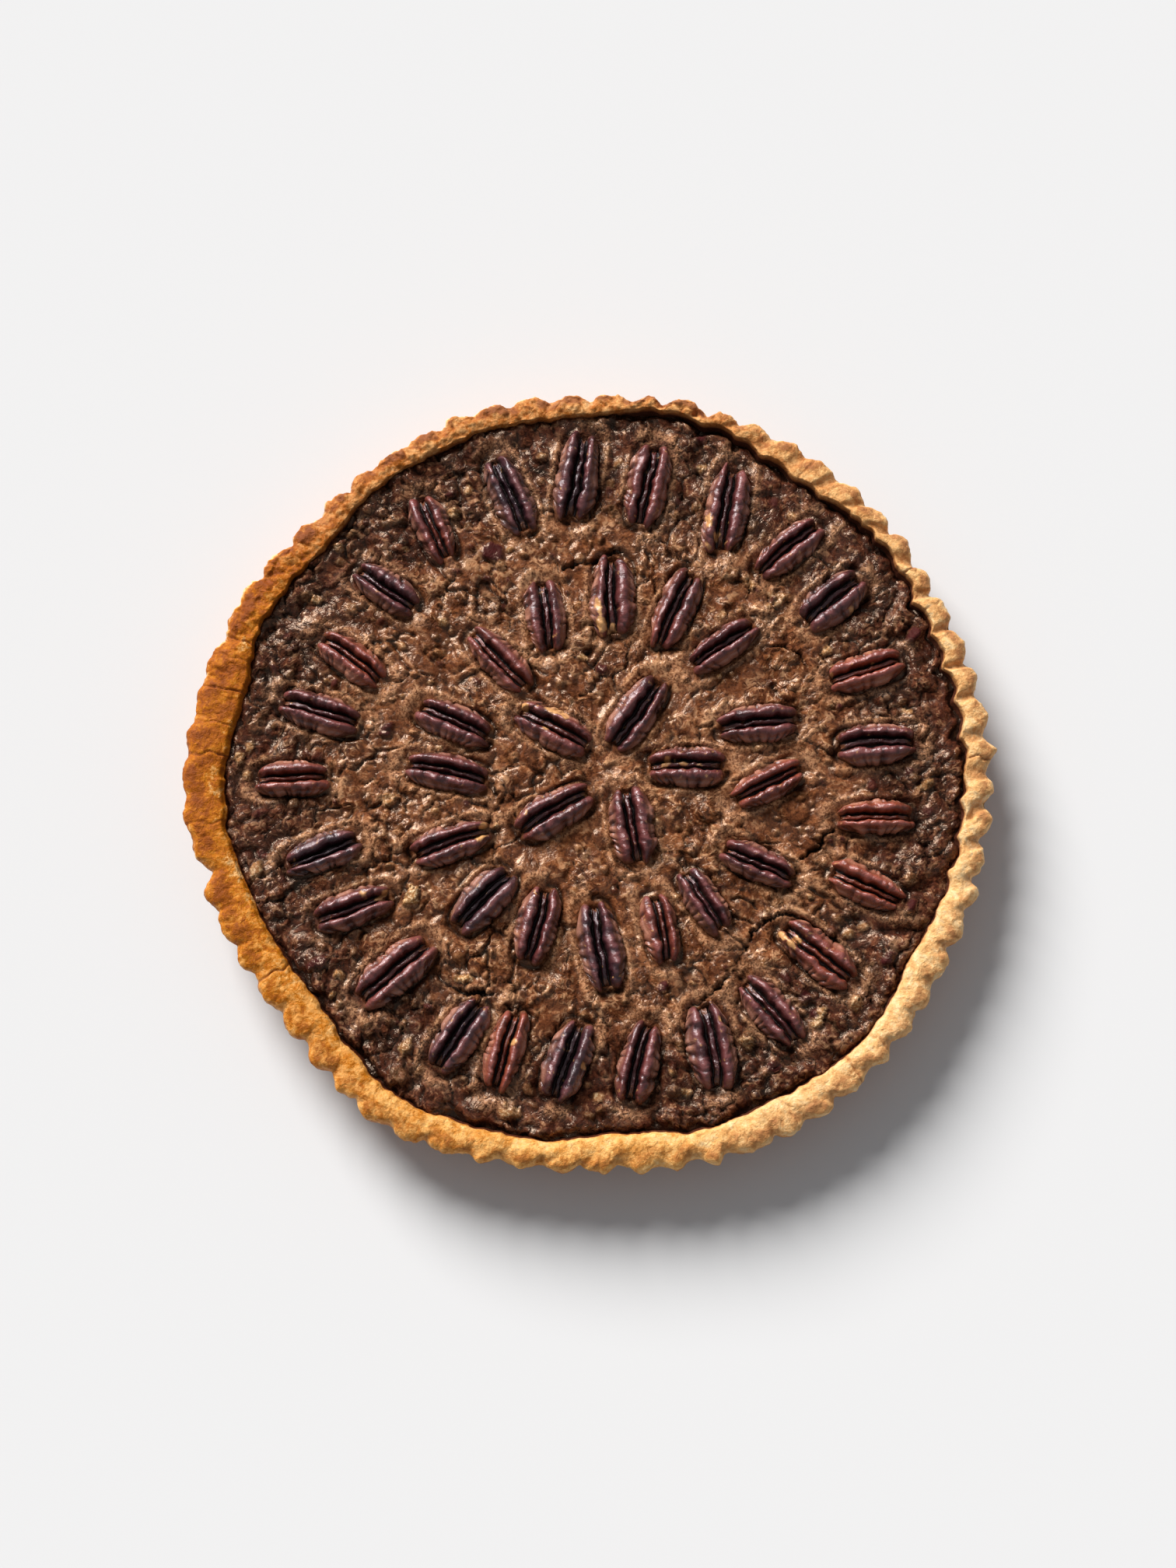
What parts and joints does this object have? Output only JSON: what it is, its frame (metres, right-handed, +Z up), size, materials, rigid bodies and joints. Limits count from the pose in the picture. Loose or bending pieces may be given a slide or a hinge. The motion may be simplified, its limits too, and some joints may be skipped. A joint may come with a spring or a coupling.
{
  "type": "pecan pie",
  "caption": "Round pecan pie with a fluted shortcrust shell, a crackled brown filling and pecan halves set in three rings.",
  "frame": {"origin": "middle of the flat underside of the crust", "axes": "+Z straight up from the underside; +Y towards the top of the pie as seen from above and +X towards its right"},
  "size_m": [0.2896, 0.2827, 0.0284],
  "materials": {
    "crust": "baked shortcrust, golden with browned edges, matte and finely flaky",
    "filling": "set brown filling, crackled and pitted, matte with small glossy spots",
    "pecan": "roasted nut skin, dark maroon brown, finely wrinkled with a soft sheen"
  },
  "bodies": {
    "root": {"crust": "crust", "filling": "filling", "pecan_outer_01": "pecan", "pecan_outer_02": "pecan", "pecan_outer_03": "pecan", "pecan_outer_04": "pecan", "pecan_outer_05": "pecan", "pecan_outer_06": "pecan", "pecan_outer_07": "pecan", "pecan_outer_08": "pecan", "pecan_outer_09": "pecan", "pecan_outer_10": "pecan", "pecan_outer_11": "pecan", "pecan_outer_12": "pecan", "pecan_outer_13": "pecan", "pecan_outer_14": "pecan", "pecan_outer_15": "pecan", "pecan_outer_16": "pecan", "pecan_outer_17": "pecan", "pecan_outer_18": "pecan", "pecan_outer_19": "pecan", "pecan_outer_20": "pecan", "pecan_outer_21": "pecan", "pecan_outer_22": "pecan", "pecan_outer_23": "pecan", "pecan_outer_24": "pecan", "pecan_outer_25": "pecan", "pecan_middle_01": "pecan", "pecan_middle_02": "pecan", "pecan_middle_03": "pecan", "pecan_middle_04": "pecan", "pecan_middle_05": "pecan", "pecan_middle_06": "pecan", "pecan_middle_07": "pecan", "pecan_middle_08": "pecan", "pecan_middle_09": "pecan", "pecan_middle_10": "pecan", "pecan_middle_11": "pecan", "pecan_middle_12": "pecan", "pecan_middle_13": "pecan", "pecan_middle_14": "pecan", "pecan_middle_15": "pecan", "pecan_middle_16": "pecan", "pecan_inner_01": "pecan", "pecan_inner_02": "pecan", "pecan_inner_03": "pecan", "pecan_inner_04": "pecan", "pecan_inner_05": "pecan"}
  },
  "joints": []
}
